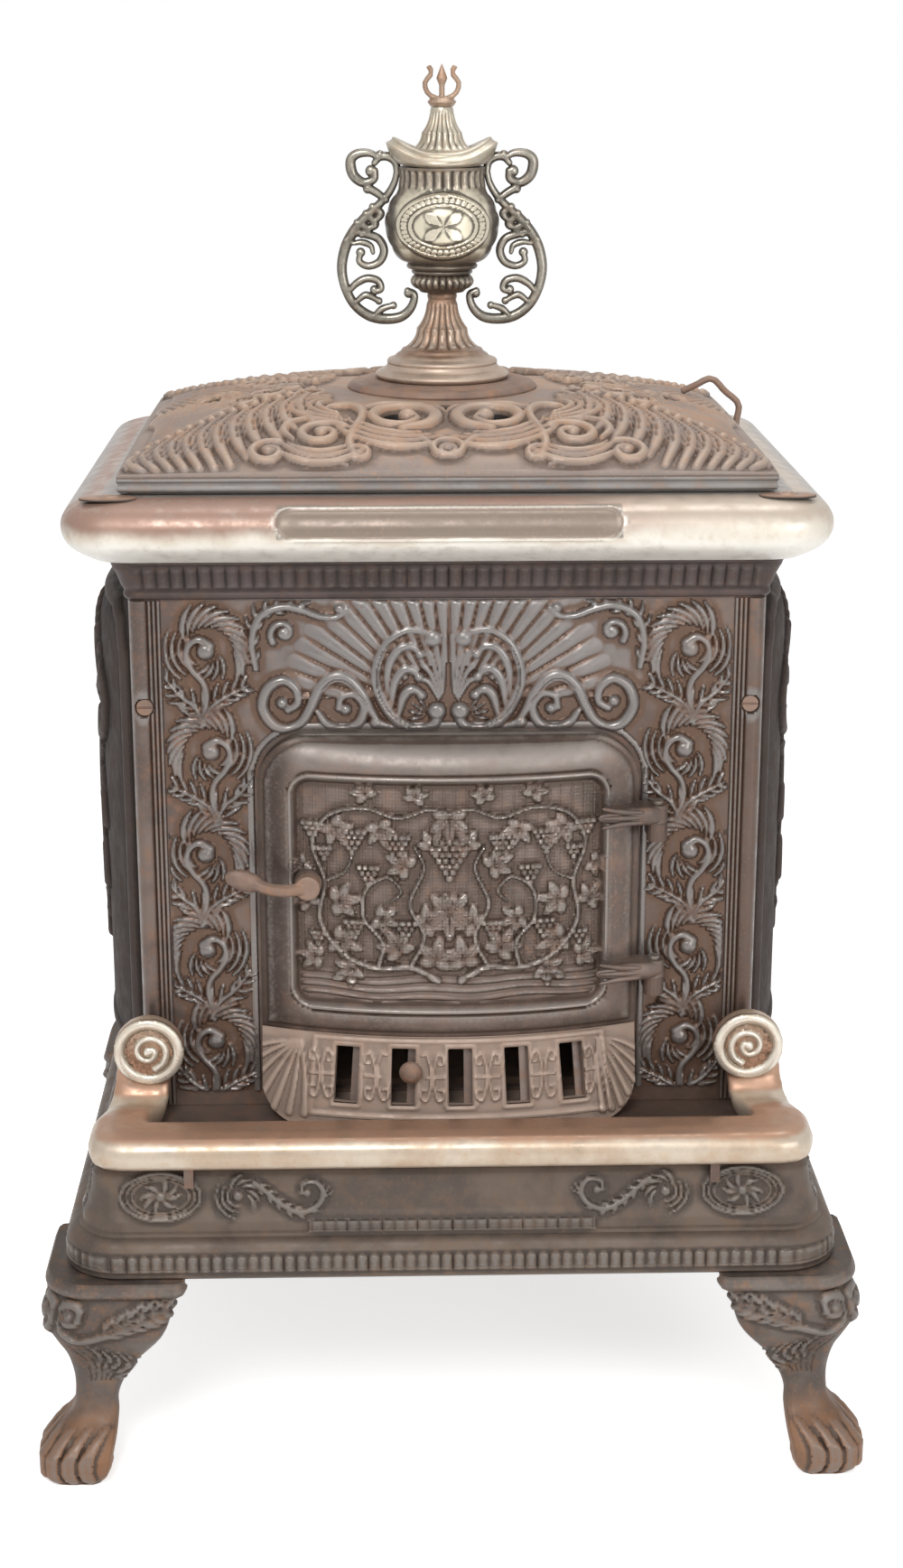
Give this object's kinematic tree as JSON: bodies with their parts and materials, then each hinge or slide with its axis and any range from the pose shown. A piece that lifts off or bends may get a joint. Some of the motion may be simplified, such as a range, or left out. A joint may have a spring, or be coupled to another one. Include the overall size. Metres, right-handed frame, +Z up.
{
  "type": "parlour wood stove",
  "caption": "Rectangular cast-iron parlour wood stove with cabriole legs, bow-fronted feed door, sliding air register, nickel foot rail and rim, and a swing-away top with an urn finial.",
  "frame": {"origin": "on the floor under the middle of the stove", "axes": "+Z up, front of the stove towards -Y, flue towards +Y, +X to the right seen from the front"},
  "size_m": [0.72, 0.652, 1.184],
  "materials": {
    "cast_iron_body": "dark brown-grey aged cast iron, steel-grey sheen on high relief, orange rust in the recesses",
    "rusty_iron": "matte brown rusted cast iron",
    "tan_rusted_iron": "dry tan-orange rust over blue-grey iron",
    "worn_nickel": "worn nickel plate, silvery on the lower roll, with pink-tan rust bloom",
    "steel_fittings": "old rust-stained steel"
  },
  "bodies": {
    "stove": {"leg_front_left": "rusty_iron", "leg_front_right": "rusty_iron", "leg_rear_left": "rusty_iron", "leg_rear_right": "rusty_iron", "leg_bolt_front_left": "steel_fittings", "leg_bolt_front_right": "steel_fittings", "leg_bolt_rear_left": "steel_fittings", "leg_bolt_rear_right": "steel_fittings", "base_casting": "cast_iron_body", "hearth_plate": "cast_iron_body", "rail_clip_left": "cast_iron_body", "rail_clip_right": "cast_iron_body", "corner_post_front_left": "cast_iron_body", "corner_post_front_right": "cast_iron_body", "corner_post_rear_left": "cast_iron_body", "corner_post_rear_right": "cast_iron_body", "front_plate": "cast_iron_body", "side_panel_left": "cast_iron_body", "side_panel_right": "cast_iron_body", "back_plate": "cast_iron_body", "flue_collar": "cast_iron_body", "cornice": "cast_iron_body", "top_plate": "cast_iron_body", "post_screw_left": "rusty_iron", "post_screw_right": "rusty_iron", "firebox_floor": "rusty_iron", "firebox_liner_left": "rusty_iron", "firebox_liner_right": "rusty_iron", "firebox_liner_back": "rusty_iron", "foot_rail": "worn_nickel", "top_rim": "worn_nickel", "draft_panel": "tan_rusted_iron", "hinge_pin_upper": "steel_fittings", "hinge_pin_lower": "steel_fittings", "flue_bolt_left": "steel_fittings", "flue_bolt_right": "steel_fittings", "swing_pivot_pin": "steel_fittings"},
    "feed_door": {"feed_door": "cast_iron_body", "door_liner": "rusty_iron"},
    "latch": {"latch_handle": "steel_fittings", "latch_spindle": "steel_fittings", "latch_tail": "steel_fittings"},
    "register": {"draft_slide": "cast_iron_body", "draft_knob": "rusty_iron"},
    "swing_top": {"swing_top": "tan_rusted_iron", "swing_top_loop": "tan_rusted_iron", "finial_foot": "worn_nickel", "urn_body": "worn_nickel", "urn_lid": "worn_nickel", "urn_crown": "worn_nickel", "urn_handle_left": "worn_nickel", "urn_handle_right": "worn_nickel", "finial_rod": "steel_fittings", "finial_nut": "steel_fittings"},
    "cooking_lid_left": {"cooking_lid_left": "cast_iron_body"},
    "cooking_lid_right": {"cooking_lid_right": "cast_iron_body"}
  },
  "joints": [
    {"name": "door_swing", "type": "hinge", "parent": "stove", "child": "feed_door", "pos_m": [0.18, -0.178, 0.5], "axis": [0, 0, 1], "range_deg": [0, 105]},
    {"name": "latch_turn", "type": "hinge", "parent": "feed_door", "child": "latch", "pos_m": [-0.122, -0.19, 0.505], "axis": [0, 1, 0], "range_deg": [-35, 55]},
    {"name": "register_slide", "type": "hinge", "parent": "stove", "child": "register", "pos_m": [0, 0.24109, 0.33], "axis": [0, 0, -1], "range_deg": [0, 1.75]},
    {"name": "top_swing", "type": "hinge", "parent": "stove", "child": "swing_top", "pos_m": [-0.245, 0.253, 0.85], "axis": [0, 0, -1], "range_deg": [0, 90]},
    {"name": "lid_left_lift", "type": "slide", "parent": "stove", "child": "cooking_lid_left", "axis": [0, 0, 1], "range_m": [0, 0.03]},
    {"name": "lid_right_lift", "type": "slide", "parent": "stove", "child": "cooking_lid_right", "axis": [0, 0, 1], "range_m": [0, 0.03]}
  ]
}
